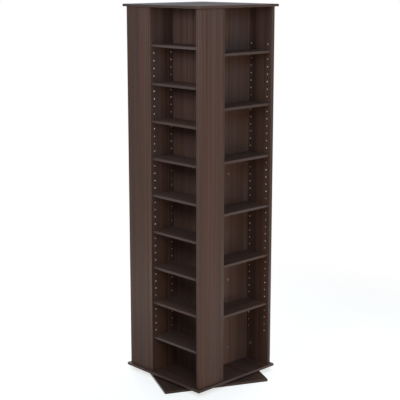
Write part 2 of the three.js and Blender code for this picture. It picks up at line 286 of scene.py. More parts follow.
floor_mesh = bpy.data.meshes.new("studio_floor")
corners = np.array([[-1, -1, 0], [1, -1, 0], [1, 1, 0], [-1, 1, 0]], float) * FLOOR_SIDE / 2
floor_mesh.from_pydata(corners.tolist(), [], [[0, 1, 2, 3]])
floor_mesh.materials.append(floor_material())
studio_floor = bpy.data.objects.new("studio_floor", floor_mesh)
bpy.context.scene.collection.objects.link(studio_floor)
print("floor side in metres:", FLOOR_SIDE)

# %% [markdown]
# The tower is chipboard under a printed espresso laminate. An image of wood wrapped round each board would
# be the usual way, but it repeats from board to board. Noise that is stretched along a board gives grain
# that never repeats. The print has four scales: slow bands a few centimetres wide, a slow tint, streaks a
# few millimetres wide, and short dark pores that also dent the surface.

# %% Grain
# Counts per metre across and along the board, and the noise's detail.
BANDS = (26.0, 0.4, 3.0)
TINTS = (20.0, 0.5, 2.0)
STREAKS = (130.0, 0.9, 4.0)
PORES = (1300.0, 22.0, 2.0)


def grain(tree, scale, axis, offset, turn):
    """Noise on Object coordinates that runs slowly along one axis and quickly across it.

    The place is divided by one over the counts, so a count of 26 gives 26 waves to the metre. The offset
    picks another stretch of the print, and the turn is for a board that stands askew to the tower.
    """
    across, along, detail = scale
    size = [1.0 / across] * 3
    size["XYZ".index(axis)] = 1.0 / along
    place = add_node(
        tree, "ShaderNodeMapping", {"vector_type": "TEXTURE"}, Vector=object_place(tree),
        Location=(offset,) * 3, Rotation=(0.0, 0.0, turn), Scale=tuple(size),
    ).outputs["Vector"]
    return add_node(tree, "ShaderNodeTexNoise", Vector=place, Scale=1.0, Detail=detail).outputs["Fac"]


# %% [markdown]
# One ramp of browns would look like paint with stripes. In the print, hue and lightness wander apart, so
# two ramps, one redder and one greyer, are mixed by the slow tint, and the bands then lighten and darken
# the mix. The streaks choose the place on the ramps and stir the gloss a little.

# %% Wood-grain laminate
RED_BROWNS = ((0.054, 0.0232, 0.0144), (0.085, 0.0385, 0.0245), (0.114, 0.0570, 0.0385))
GREY_BROWNS = ((0.043, 0.0240, 0.0178), (0.069, 0.0385, 0.0282), (0.098, 0.0585, 0.0450))
TAPE_BROWNS = ((0.066, 0.0450, 0.0390), (0.086, 0.0610, 0.0540), (0.106, 0.0780, 0.0700))
PORE_BROWN = (0.022, 0.012, 0.009, 1.0)
RAMP_STOPS = (0.24, 0.50, 0.78)
TINT_START = 0.37
TINT_RANGE = (0.42, 0.64)
BAND_RANGE = (0.30, 0.70)
BAND_SHADES = (0.80, 1.20)
PORE_RANGE = (0.60, 0.70)
PORE_SHARE = 0.4
PORE_BUMP = 0.25
PORE_DEPTH = 0.15 * MM
STREAK_RANGE = (0.3, 0.7)
GLOSS_SWING = 0.05
LAMINATE_SPECULAR = 0.12
NEXT_STRETCH = 2.0


def brown_ramp(tree, factor, browns, lift):
    """Colour ramp through three browns, each made lighter by the lift."""
    ramp = add_node(tree, "ShaderNodeValToRGB", Fac=factor)
    elements = ramp.color_ramp.elements
    elements.new(RAMP_STOPS[1])
    for element, stop, brown in zip(elements, RAMP_STOPS, browns):
        element.position = stop
        element.color = (*(min(1.0, c * lift) for c in brown), 1.0)
    return ramp.outputs["Color"]


def laminate(name, axis, tones, lift, roughness, offset, turn=0.0):
    """Printed wood grain along an axis, in two brown ramps. The lift lightens it."""
    material, tree, shader = new_material(name)
    bands = grain(tree, BANDS, axis, offset, turn)
    tints = grain(tree, TINTS, axis, offset + TINT_START, turn)
    streaks = grain(tree, STREAKS, axis, offset, turn)
    pores = grain(tree, PORES, axis, offset, turn)
    first, second = (brown_ramp(tree, streaks, browns, lift) for browns in tones)
    tinted = blended(tree, remapped(tree, tints, TINT_RANGE, (0.0, 1.0)), first, second)
    shade = remapped(tree, bands, BAND_RANGE, BAND_SHADES)
    shaded = add_node(tree, "ShaderNodeVectorMath", {"operation": "SCALE"}, i0=tinted, Scale=shade)
    pore_mask = remapped(tree, pores, PORE_RANGE, (0.0, PORE_SHARE))
    colour = blended(tree, pore_mask, shaded.outputs["Vector"], PORE_BROWN)
    tree.links.new(colour, shader.inputs["Base Color"])
    dull = remapped(tree, streaks, STREAK_RANGE, (roughness - GLOSS_SWING, roughness + GLOSS_SWING))
    tree.links.new(dull, shader.inputs["Roughness"])
    dented(tree, shader, pore_mask, PORE_BUMP, PORE_DEPTH, sunk=True)
    shader.inputs["Specular IOR Level"].default_value = LAMINATE_SPECULAR
    return material


def laminate_pair(name, tones, lift, roughness, offset, turn=0.0):
    """The same print along X, and along Y from a stretch further on."""
    return (
        laminate(name + "_x", "X", tones, lift, roughness, offset, turn),
        laminate(name + "_y", "Y", tones, lift, roughness, offset + NEXT_STRETCH, turn),
    )


# %% [markdown]
# One laminate for every board would be simple, but the boards differ here. The uprights are the lightest,
# and their thin arrises are painted paler, as wear from handling and as a painted highlight. Shelves are a
# little greyer. The bay floors and the base board are darker, a painted shade for the shade under the
# shelves and under the tower. The narrow edges are closed with tape. On the uprights and the top panel the
# tape matches the brown, and on the shelves, the bottom panel and the base board it is greyer, which shows
# as a pale line along the front of each shelf.

# %% The boards' finishes
SKIN_TONES = (RED_BROWNS, GREY_BROWNS)
SHELF_TONES = (GREY_BROWNS, RED_BROWNS)
TAPE_TONES = (GREY_BROWNS, TAPE_BROWNS)

UPRIGHT_SKIN = laminate("upright_laminate", "Z", SKIN_TONES, lift=1.0, roughness=0.60, offset=0.0)
UPRIGHT_BAND = laminate("upright_edge_band", "Z", SKIN_TONES, lift=0.90, roughness=0.45, offset=3.0)
# Arrises painted paler: partly wear from handling, partly a painted highlight where the light catches them.
UPRIGHT_ARRIS_WEAR_AND_HIGHLIGHT = laminate("upright_arris_wear_and_painted_highlight", "Z", SKIN_TONES, lift=1.45, roughness=0.42, offset=3.0)
PANEL_SKINS = (
    laminate("panel_laminate", "X", SKIN_TONES, lift=1.0, roughness=0.72, offset=5.0),
    *laminate_pair("panel_edge_band", SKIN_TONES, lift=0.95, roughness=0.43, offset=7.0),
)
# The bay floors' lift of 0.75 darkens their skin: painted shade for the shade under the shelves.
BAY_FLOOR_SKINS_WITH_PAINTED_SHADE = (
    laminate("bay_floor_painted_shade_laminate", "X", SHELF_TONES, lift=0.75, roughness=0.50, offset=5.0),
    *laminate_pair("bay_floor_edge_band", TAPE_TONES, lift=0.95, roughness=0.43, offset=7.0),
)
SHELF_SKINS = laminate_pair("shelf_laminate", SHELF_TONES, lift=0.95, roughness=0.46, offset=11.0)
SHELF_BANDS = laminate_pair("shelf_edge_band", TAPE_TONES, lift=1.15, roughness=0.62, offset=15.0)
# The base board's low lifts darken it: painted shade for the tower's shadow on it.
BASE_SKINS_WITH_PAINTED_SHADE = (
    laminate("base_painted_shade_laminate", "X", SKIN_TONES, lift=0.62, roughness=0.47, offset=19.0, turn=BASE_TURN),
    *laminate_pair("base_painted_shade_edge_band", TAPE_TONES, lift=0.80, roughness=0.43, offset=21.0, turn=BASE_TURN),
)
print("materials so far:", len(bpy.data.materials))

# %% [markdown]
# Where a bore or a kerf cuts through the laminate, the raw chipboard shows: pale flakes pressed together.
# Plain noise gives soft clouds. Voronoi cells have hard borders, as flakes do, so they are used instead.

# %% Raw chipboard
FLAKE_COUNT = 900.0
FLAKE_PALE = (0.80, 0.71, 0.60, 1.0)
FLAKE_DARK = (0.60, 0.49, 0.38, 1.0)
CORE_ROUGHNESS = 0.9


def raw_core():
    """Cells of flakes: the distance from a cell's middle gives both the colour and the height."""
    material, tree, shader = new_material("raw_chipboard")
    flakes = add_node(tree, "ShaderNodeTexVoronoi", Vector=object_place(tree), Scale=FLAKE_COUNT)
    ramp = add_node(tree, "ShaderNodeValToRGB", Fac=flakes.outputs["Distance"])
    ramp.color_ramp.elements[0].color = FLAKE_PALE
    ramp.color_ramp.elements[1].color = FLAKE_DARK
    tree.links.new(ramp.outputs["Color"], shader.inputs["Base Color"])
    dented(tree, shader, flakes.outputs["Distance"], strength=0.4, depth=0.2 * MM)
    shader.inputs["Roughness"].default_value = CORE_ROUGHNESS
    return material


CORE = raw_core()
print("core:", CORE.name)

# %% [markdown]
# The wires, plates and balls are zinc-plated steel, and the cams are darker die-cast zinc. An even metal
# looks like chrome paint. Plating is cloudy, so one noise shifts the colour and the gloss together.

# %% Metals
CLOUD_COUNT = 260.0
CLOUD_RANGE = (0.3, 0.7)


def worn_metal(name, light, dark, roughness):
    """Metal whose colour and gloss follow the same cloudy noise."""
    material, tree, shader = new_material(name)
    noise = add_node(tree, "ShaderNodeTexNoise", Vector=object_place(tree), Scale=CLOUD_COUNT, Detail=4.0)
    clouds = noise.outputs["Fac"]
    tree.links.new(blended(tree, clouds, (*light, 1.0), (*dark, 1.0)), shader.inputs["Base Color"])
    tree.links.new(remapped(tree, clouds, CLOUD_RANGE, roughness), shader.inputs["Roughness"])
    shader.inputs["Metallic"].default_value = 1.0
    return material


ZINC_STEEL = worn_metal("zinc_plated_steel", (0.66, 0.65, 0.62), (0.48, 0.48, 0.47), roughness=(0.25, 0.42))
DIE_CAST = worn_metal("zinc_die_cast", (0.21, 0.20, 0.19), (0.12, 0.115, 0.11), roughness=(0.38, 0.55))
print("metals:", ZINC_STEEL.name, "and", DIE_CAST.name)

# %% [markdown]
# Small brown caps cover the screw heads. Moulded plastic isn't quite flat: it has a fine orange peel. That
# could be modelled, but at this size a bump from a fine noise does the same with no faces at all.

# %% Cap plastic
PEEL_COUNT = 900.0
CAP_DARK = (0.060, 0.042, 0.036, 1.0)
CAP_PALE = (0.082, 0.060, 0.052, 1.0)
CAP_ROUGHNESS = 0.38


def moulded_plastic():
    """Brown plastic with one fine noise in its colour and in its surface."""
    material, tree, shader = new_material("brown_cap_plastic")
    noise = add_node(tree, "ShaderNodeTexNoise", Vector=object_place(tree), Scale=PEEL_COUNT, Detail=2.0)
    peel = noise.outputs["Fac"]
    tree.links.new(blended(tree, peel, CAP_DARK, CAP_PALE), shader.inputs["Base Color"])
    dented(tree, shader, peel, strength=0.2, depth=0.05 * MM)
    shader.inputs["Roughness"].default_value = CAP_ROUGHNESS
    return material


CAP_PLASTIC = moulded_plastic()
print("plastic:", CAP_PLASTIC.name)

# %% [markdown]
# Every piece below is a grid of points joined into faces. Blender's own cubes and cylinders would be
# quicker, but they have no soft edges, bores or kerfs. The first helpers join a grid's points and turn
# them. A block is a set of faces with its material and its shading. The last helper makes an object of
# such blocks at the origin, hides the frame's part that it stands for, and lets it ride on its body.


# %% Mesh helpers
def grid_faces(rows, columns):
    """Quads of a grid of points, row by row, with the last column joined to the first."""
    i, j = np.meshgrid(np.arange(rows - 1), np.arange(columns), indexing="ij")
    k = (j + 1) % columns
    quads = np.stack([i * columns + j, i * columns + k, (i + 1) * columns + k, (i + 1) * columns + j])
    return quads.reshape(4, -1).T


def end_faces(count, total):
    """The first ring of points as a face that looks back, and the last ring as one that looks ahead."""
    ring = np.arange(count)
    return np.stack([ring[::-1], ring + total - count])


def turned(points, angle):
    """Points turned about the tower's axis: x becomes x cos - y sin, and y becomes x sin + y cos."""
    c, s = round(math.cos(angle), 12), round(math.sin(angle), 12)
    return points @ np.array([[c, s, 0.0], [-s, c, 0.0], [0.0, 0.0, 1.0]])


def even_angles(sides):
    """Angles evenly round a circle."""
    return np.linspace(0.0, 2 * math.pi, sides, endpoint=False)


def corner_directions(steps):
    """Unit directions round a square's four corners, and the sign of each corner's centre."""
    swing = np.linspace(0.0, QUARTER_TURN, steps + 1)
    angles = (np.arange(4)[:, None] * QUARTER_TURN + swing).ravel()
    signs = np.array([[1, 1], [-1, 1], [-1, -1], [1, -1]], float).repeat(steps + 1, axis=0)
    return np.stack([np.cos(angles), np.sin(angles)], axis=1), signs


def make_piece(name, points, blocks, materials, body, nodes=()):
    """An object from points and blocks of faces. A block is (faces, number of the material, smooth).

    Nodes are the frame's parts that it stands for, and body is what it moves with.
    """
    faces = [face for block, _, _ in blocks for face in block.tolist()]
    kinds = np.concatenate([np.broadcast_to(kind, len(block)) for block, kind, _ in blocks])
    smooth = np.concatenate([np.broadcast_to(shading, len(block)) for block, _, shading in blocks])
    mesh = bpy.data.meshes.new(name)
    mesh.from_pydata(points.tolist(), [], faces)
    for material in materials:
        mesh.materials.append(material)
    mesh.polygons.foreach_set("material_index", kinds.astype(np.int32))
    mesh.polygons.foreach_set("use_smooth", smooth.astype(bool))
    mesh.update()
    piece = bpy.data.objects.new(name, mesh)
    bpy.context.scene.collection.objects.link(piece)
    if nodes:
        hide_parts(*nodes)
    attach(piece, body)
    return piece


# %% [markdown]
# The top, bottom and base panels are square boards 11 mm thick, with edges softened by the tape. A Bevel
# modifier would round them too, but then plan corners and edges share one radius. Here the plan outline is
# drawn at each step of the edge's section, and drawn in by as much as the section is, so both are in one
# formula. The base board stands askew, which shows that the tower above it turns.

# %% Panels
PANEL_CORNER = 4 * MM
PANEL_EDGE = 2 * MM
PANEL_SIDE = TOP_HIGH.x - TOP_LOW.x
PANEL_STEPS = 6
BASE_SIDE = 470 * MM
BASE_LOW, BASE_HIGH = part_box("base_board")


def soft_panel(name, side, low_z, high_z, turn, materials, body):
    """Square board: outline points are corner centre plus (corner radius less inset) times direction.

    The inset and the height follow a quarter circle at the bottom edge and another at the top edge. Face
    kinds are 0 for the skin, 1 for the tape along X and 2 for the tape along Y.
    """
    directions, signs = corner_directions(PANEL_STEPS)
    swing = np.linspace(0.0, QUARTER_TURN, PANEL_STEPS + 1)
    inset = PANEL_EDGE * np.concatenate([1 - np.sin(swing), 1 - np.cos(swing)])
    rise = PANEL_EDGE * np.concatenate([1 - np.cos(swing), np.sin(swing) - 1])
    height = np.repeat([low_z, high_z], PANEL_STEPS + 1) + rise
    centres = signs * (side / 2 - PANEL_CORNER)
    plan = centres + (PANEL_CORNER - inset)[:, None, None] * directions
    z = np.broadcast_to(height[:, None, None], plan.shape[:2] + (1,))
    points = turned(np.concatenate([plan, z], axis=2).reshape(-1, 3), turn)
    count = len(directions)
    quads = grid_faces(len(inset), count)
    corner, step = np.divmod(quads[:, 0] % count, PANEL_STEPS + 1)
    facing = directions[quads[:, 0] % count]
    on_corner = np.where(np.abs(facing[:, 0]) > np.abs(facing[:, 1]), 2, 1)
    kinds = np.where(step == PANEL_STEPS, 1 + corner % 2, on_corner)
    blocks = [(quads, kinds, True), (end_faces(count, len(points)), 0, False)]
    make_piece(name + "_laminate", points, blocks, materials, body, (name,))


soft_panel("top_panel", PANEL_SIDE, TOP_LOW.z, TOP_HIGH.z, 0.0, PANEL_SKINS, "tower")
soft_panel("bottom_panel", PANEL_SIDE, BOTTOM_LOW.z, BOTTOM_HIGH.z, 0.0, BAY_FLOOR_SKINS_WITH_PAINTED_SHADE, "tower")
soft_panel("base_board", BASE_SIDE, BASE_LOW.z, BASE_HIGH.z, BASE_TURN, BASE_SKINS_WITH_PAINTED_SHADE, "base")
print("panel side", round(PANEL_SIDE, 4), "thickness", round(TOP_HIGH.z - TOP_LOW.z, 4))

# %% [markdown]
# An upright is a tall 16 mm board, and its wall face is drilled with two rows of holes on the furniture
# maker's pitch of 32 mm, so a shelf can hang at any of 41 levels. A boolean cut would drill the holes, but
# it leaves long thin triangles. So a grid is laid over the board with one small square cell for every hole,
# and only that cell is cut open. A cell's edges are the cuts in the plan below.

# %% Holes and plan of an upright
HOLE_PITCH = 32 * MM
HOLE_LEVELS = 41
LOWEST_HOLE = BOTTOM_HIGH.z + 153.5 * MM
HOLE_RADIUS = 2.5 * MM
HOLE_DEPTH = 9.6 * MM
HOLE_SIDES = 16
# Half the side of a hole's cell, which is a little more than the rim of its chamfer.
HOLE_CELL = 3.0 * MM
FRONT_ROW = 23 * MM
BACK_ROW = 119 * MM
ARRIS = 1.2 * MM
ARRIS_STEPS = 4
ARC = ARRIS_STEPS + 1


def level_height(level):
    """Height above the floor of a hole level, counted from the lowest hole. Parts of a level work too."""
    return LOWEST_HOLE + level * HOLE_PITCH


def rounded_plan(length, thickness):
    """Outline of a board's section, counter-clockwise: an arc of the arris radius at each corner."""
    directions, signs = corner_directions(ARRIS_STEPS)
    middle = np.array([length, thickness]) / 2
    return middle + signs * (middle - ARRIS) + ARRIS * directions


def plan_with_cuts(length, cuts):
    """Plan of an upright, with the edges of its cells set as points into the drilled face at v = 0."""
    arcs = rounded_plan(length, BOARD)
    face = np.stack([cuts, np.zeros(len(cuts))], axis=1)
    return np.concatenate([arcs[:3 * ARC], face, arcs[3 * ARC:]])


print("hole levels from", round(level_height(0), 4), "to", round(level_height(HOLE_LEVELS - 1), 4))

# %% [markdown]
# A drilled hole in laminated board has a small chamfer, a straight wall of raw chipboard, and the point of
# the drill at its end. It is drawn as rings of points. A fan of triangles joins the rim to the four corners
# of the cell that was left out of the grid, so nothing overlaps and the board stays closed.

# %% Bores
HOLE_CHAMFER = 0.35 * MM
DRILL_TIP = 1.2 * MM
FIRST_CORNER = -0.75 * math.pi


def bore_faces(sides):
    """Faces of a bore. Points 0 to 3 are its cell's corners, then come three rings, and then the tip.

    Each corner fans out to the rim points nearest to it, and each side of the cell takes the one midway.
    """
    quarter = sides // 4
    k = np.arange(sides)
    nearest = ((k + quarter // 2) // quarter) % 4
    rim = 4 + k
    beyond = 4 + (k + 1) % sides
    fans = np.stack([nearest, beyond, rim], axis=1)
    s = np.arange(4)
    middles = np.stack([s, (s + 1) % 4, 4 + s * quarter + quarter // 2], axis=1)
    wall = np.stack([rim, beyond, beyond + sides, rim + sides], axis=1)
    tips = np.stack([rim + 2 * sides, beyond + 2 * sides, np.full(sides, 4 + 3 * sides)], axis=1)
    return np.concatenate([fans, middles]), np.concatenate([wall, wall + sides]), tips


def drill(corners, centres, radius, depth, sides, first):
    """Points and faces of equal bores: rings at the chamfer's rim, its foot and the bore's end, and a tip.

    The rings start towards the cell's first corner. First is the number that the first new point gets.
    """
    angles = even_angles(sides) + FIRST_CORNER
    ring = np.stack([np.cos(angles), np.zeros(sides), np.sin(angles)], axis=1)
    inward = np.array([[0.0, 1.0, 0.0]])
    shape = np.concatenate([
        ring * (radius + HOLE_CHAMFER),
        ring * radius + inward * HOLE_CHAMFER,
        ring * radius + inward * depth,
        inward * (depth + DRILL_TIP),
    ])
    middles = np.stack([centres[:, 0], np.zeros(len(centres)), centres[:, 1]], axis=1)
    points = (middles[:, None, :] + shape).reshape(-1, 3)
    fresh = first + np.arange(len(points)).reshape(len(centres), -1)
    ids = np.concatenate([corners, fresh], axis=1)
    fans, walls, tips = (ids[:, part].reshape(-1, part.shape[1]) for part in bore_faces(sides))
    return points, fans, walls, tips


# %% [markdown]
# Now the board itself. Its plan outline could be pushed up from foot to head in one step, but then there
# would be no cells to drill. So it is carried up over a line below and above each row of holes. The faces
# are sorted as they are made: wide faces take the laminate, the narrow edges take the tape, the rounded
# arrises take a paler finish that is partly wear and partly a painted highlight, and the bores and the
# hidden ends are raw.

# %% A drilled board
LAMINATE, BAND, CHIPBOARD, ARRIS_WEAR_AND_HIGHLIGHT = 0, 1, 2, 3


def upright_surface(length, columns, rows, bores):
    """Closed board in (u, v, z): the plan carried up the row lines, less one cell for each bore.

    Columns and rows are lists of (middle, half width). A bore is (columns, rows, radius, depth, sides).
    """
    cuts = np.array([middle + sign * half for middle, half in columns for sign in (-1, 1)])
    lines = [0.0] + [middle + sign * half for middle, half in rows for sign in (-1, 1)] + [UPRIGHT_HEIGHT]
    outline = plan_with_cuts(length, cuts)
    count = len(outline)
    points = [np.concatenate([np.tile(outline, (len(lines), 1)), np.repeat(lines, count)[:, None]], axis=1)]
    point_count = len(points[0])
    quads = grid_faces(len(lines), count)
    segment = np.arange(len(quads)) % count
    drilled = (segment >= 3 * ARC - 1) & (segment < 3 * ARC + len(cuts))
    wide = (segment == ARC - 1) | drilled
    straight = wide | (segment == 2 * ARC - 1) | (segment == count - 1)
    keep = np.ones(len(quads), bool)
    blocks = [(end_faces(count, point_count), CHIPBOARD, False)]
    for bore_columns, bore_rows, radius, depth, sides in bores:
        c, r = (a.ravel() for a in np.meshgrid(bore_columns, bore_rows, indexing="ij"))
        cell = (2 * r + 1) * count + 3 * ARC + 2 * c
        keep[cell] = False
        centres = np.stack([np.array(columns)[c, 0], np.array(rows)[r, 0]], axis=1)
        fresh, fan, wall, tip = drill(quads[cell], centres, radius, depth, sides, point_count)
        points.append(fresh)
        point_count += len(fresh)
        blocks += [(fan, LAMINATE, False), (wall, CHIPBOARD, True), (tip, CHIPBOARD, True)]
    # The rounded arrises take the paler finish, which is wear and a painted highlight.
    kinds = np.where(wide, LAMINATE, np.where(straight, BAND, ARRIS_WEAR_AND_HIGHLIGHT))
    blocks.append((quads[keep], kinds[keep], ~straight[keep]))
    return np.concatenate(points), blocks


# %% [markdown]
# Two boards make each quarter. The divider is the back of one bay, and its outer end is the drilled left
# wall of the next. The side panel closes the corner as the bay's right wall, and near its foot it has a
# round pocket for a cam. They could be one shape with a switch, but two short functions are easier to read:
# each says where its holes are, where its first corner stands and which way its length and thickness run.

# %% Uprights
CAM_RADIUS = 7.5 * MM
CAM_SETBACK = 23 * MM
CAM_DEPTH = 11.5 * MM
CAM_CELL = 7.93 * MM
CAM_SIDES = 48
CAM_LEVEL = -2.5
HOLE_ROWS = [(level_height(level) - UPRIGHT_FOOT, HOLE_CELL) for level in range(HOLE_LEVELS)]
CAM_ROW = (level_height(CAM_LEVEL) - UPRIGHT_FOOT, CAM_CELL)
HOLE_BORE = (HOLE_RADIUS, HOLE_DEPTH, HOLE_SIDES)
UPRIGHT_SKINS = (UPRIGHT_SKIN, UPRIGHT_BAND, CORE, UPRIGHT_ARRIS_WEAR_AND_HIGHLIGHT)


def make_upright(name, shape, origin, along, through, quarter):
    """A board from (u, v, z) to the bay's own frame: origin plus u times along plus v times through."""
    points, blocks = shape
    points = points @ np.array([along, through, (0.0, 0.0, 1.0)]) + np.array(origin)
    points = turned(points, quarter * QUARTER_TURN)
    return make_piece(name + "_laminate", points, blocks, UPRIGHT_SKINS, "tower", (name,))


def make_divider(bay, quarter):
    """Back of one bay, and at its outer end the drilled left wall of the next."""
    length = HALF_BODY - LEFT_WALL - HAIRLINE
    columns = [(FRONT_ROW, HOLE_CELL), (BACK_ROW, HOLE_CELL)]
    shape = upright_surface(length, columns, HOLE_ROWS, [((0, 1), range(HOLE_LEVELS), *HOLE_BORE)])
    origin = (HALF_BODY, BACK_WALL + BOARD, UPRIGHT_FOOT)
    return make_upright("divider_" + bay, shape, origin, (-1.0, 0.0, 0.0), (0.0, -1.0, 0.0), quarter)


def make_side_panel(bay, quarter):
    """Narrow board that closes the corner, with the pocket of its cam near the foot."""
    length = HALF_BODY + BACK_WALL - HAIRLINE
    columns = [
        (length - BACK_ROW, HOLE_CELL),
        (CAM_SETBACK - HAIRLINE, CAM_CELL),
        (length - FRONT_ROW, HOLE_CELL),
    ]
    holes = ((0, 2), range(1, HOLE_LEVELS + 1), *HOLE_BORE)
    pocket = ((1,), (0,), CAM_RADIUS, CAM_DEPTH, CAM_SIDES)
    shape = upright_surface(length, columns, [CAM_ROW] + HOLE_ROWS, [holes, pocket])
    origin = (RIGHT_WALL, BACK_WALL - HAIRLINE, UPRIGHT_FOOT)
    return make_upright("side_panel_" + bay, shape, origin, (0.0, -1.0, 0.0), (1.0, 0.0, 0.0), quarter)


for quarter, (bay, _) in enumerate(BAYS):
    board = make_divider(bay, quarter)
    panel = make_side_panel(bay, quarter)
print("faces in a divider", len(board.data.polygons), "and in a side panel", len(panel.data.polygons))

# %% [markdown]
# A shelf is an 11 mm board with a kerf in each end that slides over the wire in the wall. The shelves for
# music discs hang at every fifth level, and those for taller film cases at every seventh. A boolean cut
# for the kerf would again spoil the mesh. Instead the shelf's section is carried along the bay. Near the
# ends the section is a fork, open at the back, and between them the fork's slot is closed up, so that both
# sections have the same number of points and can be joined.

# %% Shelves
SHELF_LOW, SHELF_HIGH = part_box("cd_shelf_front_1")
SHELF_WIDTH = SHELF_HIGH.x - SHELF_LOW.x
SHELF_DEPTH = SHELF_HIGH.y - SHELF_LOW.y
SHELF_THICKNESS = SHELF_HIGH.z - SHELF_LOW.z
SHELF_MIDDLE = (LEFT_WALL + RIGHT_WALL) / 2
SHELF_LEVELS = {"cd": range(0, HOLE_LEVELS, 5), "dvd": range(4, HOLE_LEVELS, 7)}
KERF_DEPTH = 3.5 * MM
KERF_HALF = 2.0 * MM
KERF_FRONT = 10.0 * MM
MERGE_DIGITS = 7


def shelf_surface():
    """Closed shelf: six rings of (y, z) points along x. The front edge is on y = 0.

    Where the section changes, two rings stand at the same place, and only the kerf's floor joins them.
    """
    arcs = rounded_plan(SHELF_DEPTH, SHELF_THICKNESS) - np.array([0.0, SHELF_THICKNESS / 2])
    slot_y = np.array([SHELF_DEPTH, KERF_FRONT, KERF_FRONT, SHELF_DEPTH])
    slot_z = np.array([-1, -1, 1, 1]) * KERF_HALF
    fork = np.concatenate([arcs, np.stack([slot_y, slot_z], axis=1)])
    whole = np.concatenate([arcs, np.stack([np.full(4, SHELF_DEPTH), slot_z], axis=1)])
    end, inner = SHELF_WIDTH / 2, SHELF_WIDTH / 2 - KERF_DEPTH
    places = np.array([-end, -inner, -inner, inner, inner, end])
    sections = np.stack([fork, fork, whole, whole, fork, fork])
    rings, count = sections.shape[:2]
    x = np.broadcast_to(places[:, None, None], (rings, count, 1))
    points = np.concatenate([x, sections], axis=2).reshape(-1, 3)
    quads = grid_faces(rings, count)
    ring, segment = np.divmod(np.arange(len(quads)), count)
    changes = np.isin(ring, (1, 3))
    middle = np.equal(ring, 2)
    floor = np.equal(segment, len(arcs) + 1)
    cheeks = np.isin(segment, (len(arcs), len(arcs) + 2))
    keep = np.where(changes, floor, ~(middle & cheeks))
    front = (segment >= ARC) & (segment <= 3 * ARC - 2)
    kerf = (floor | cheeks) & ~middle
    kinds = np.where(front, BAND, np.where(kerf, CHIPBOARD, LAMINATE))
    smooth = (segment < len(arcs)) & (segment % ARC != ARC - 1)
    merged = points.round(MERGE_DIGITS)
    _, first, same = np.unique(merged, axis=0, return_index=True, return_inverse=True)
    same = same.ravel()
    ends = same[end_faces(count, len(points))]
    return points[first], [(same[quads[keep]], kinds[keep], smooth[keep]), (ends, LAMINATE, False)]


SHELF_POINTS, SHELF_BLOCKS = shelf_surface()


def make_shelf(name, level, quarter):
    """One shelf of a bay, on its hole level, with its grain along the bay."""
    shift = np.array([SHELF_MIDDLE, SHELF_LOW.y, level_height(level)])
    points = turned(SHELF_POINTS + shift, quarter * QUARTER_TURN)
    skins = (SHELF_SKINS[quarter % 2], SHELF_BANDS[quarter % 2], CORE)
    make_piece(name + "_laminate", points, SHELF_BLOCKS, skins, "tower", (name,))


shelf_total = 0
for quarter, (bay, media) in enumerate(BAYS):
    for number, level in enumerate(reversed(SHELF_LEVELS[media]), 1):
        make_shelf(f"{media}_shelf_{bay}_{number}", level, quarter)
        shelf_total += 1
print("shelves:", shelf_total)

# %% [markdown]
# Bent steel wires carry the shelves. Each is a staple: two legs sit in the front and the back hole of one
# level, and the shelf's kerf slides over the straight stretch between them. A curve object with a bevel
# would draw a wire too, but sixty of them are lighter as one array: a round section is carried along the
# centre line of leg, quarter bend, straight, quarter bend and leg, and then copied to each level.

# %% Shelf wires
WIRE_RADIUS = 1.75 * MM
WIRE_BEND = 4.0 * MM
WIRE_LEG = 8.0 * MM
WIRE_SIDES = 10
BEND_STEPS = 6


def wire_path():
    """Centre line in (out, depth), with out measured from the wall. The second bend mirrors the first."""
    swing = np.linspace(0.0, QUARTER_TURN, BEND_STEPS + 1)
    out = WIRE_RADIUS - WIRE_BEND + WIRE_BEND * np.sin(swing)
    depth = FRONT_ROW + WIRE_BEND * (1 - np.cos(swing))
    near = np.stack([out, depth], axis=1)
    far = near[::-1] * (1.0, -1.0) + (0.0, FRONT_ROW + BACK_ROW)
    return np.concatenate([[(-WIRE_LEG, FRONT_ROW)], near, far, [(-WIRE_LEG, BACK_ROW)]])


def wire_surface(heights):
    """Tubes in (out, depth, z): path + radius times (cos a times the path's normal + sin a times up)."""
    path = wire_path()
    along = np.gradient(path, axis=0)
    along /= np.linalg.norm(along, axis=1, keepdims=True)
    normal = np.stack([along[:, 1], -along[:, 0]], axis=1)
    angles = even_angles(WIRE_SIDES)
    plan = path[:, None, :] + WIRE_RADIUS * np.cos(angles)[None, :, None] * normal[:, None, :]
    rise = np.broadcast_to(WIRE_RADIUS * np.sin(angles)[None, :, None], plan.shape[:2] + (1,))
    tube = np.concatenate([plan, rise], axis=2).reshape(-1, 3)
    lift = np.stack([np.zeros(len(heights)), np.zeros(len(heights)), heights], axis=1)
    points = (tube[None, :, :] + lift[:, None, :]).reshape(-1, 3)
    steps = (np.arange(len(heights)) * len(tube))[:, None, None]
    quads = (grid_faces(len(path), WIRE_SIDES)[None, :, :] + steps).reshape(-1, 4)
    caps = (end_faces(WIRE_SIDES, len(tube))[None, :, :] + steps).reshape(-1, WIRE_SIDES)
    return points, [(quads, 0, True), (caps, 0, False)]


def make_wires(name, heights, wall, sign, quarter):
    """The wires of one wall of a bay. Sign is 1 on the left wall, and -1 on the right as its mirror."""
    points, blocks = wire_surface(heights)
    points = turned(points * (sign, 1.0, 1.0) + np.array([wall, -HALF_BODY, 0.0]), quarter * QUARTER_TURN)
    if sign > 0:
        blocks = [(faces[:, ::-1], kind, smooth) for faces, kind, smooth in blocks]
    make_piece(name, points, blocks, (ZINC_STEEL,), "tower")


for quarter, (bay, media) in enumerate(BAYS):
    heights = np.array([level_height(level) for level in SHELF_LEVELS[media]])
    make_wires(f"shelf_wires_{bay}_left", heights, LEFT_WALL, 1, quarter)
    make_wires(f"shelf_wires_{bay}_right", heights, RIGHT_WALL, -1, quarter)
print("wires:", 2 * shelf_total)

# %% [markdown]
# Screws, cams and balls are all round, so one helper makes them. A Screw modifier turns a profile too, but
# it can't cut a cross slot. Here rings of points stand round an axis, each with its own place on the axis
# and its own radius, and a single point closes each end. The radius may also change round the ring, which
# is how the cross slot is cut into the cam's face.


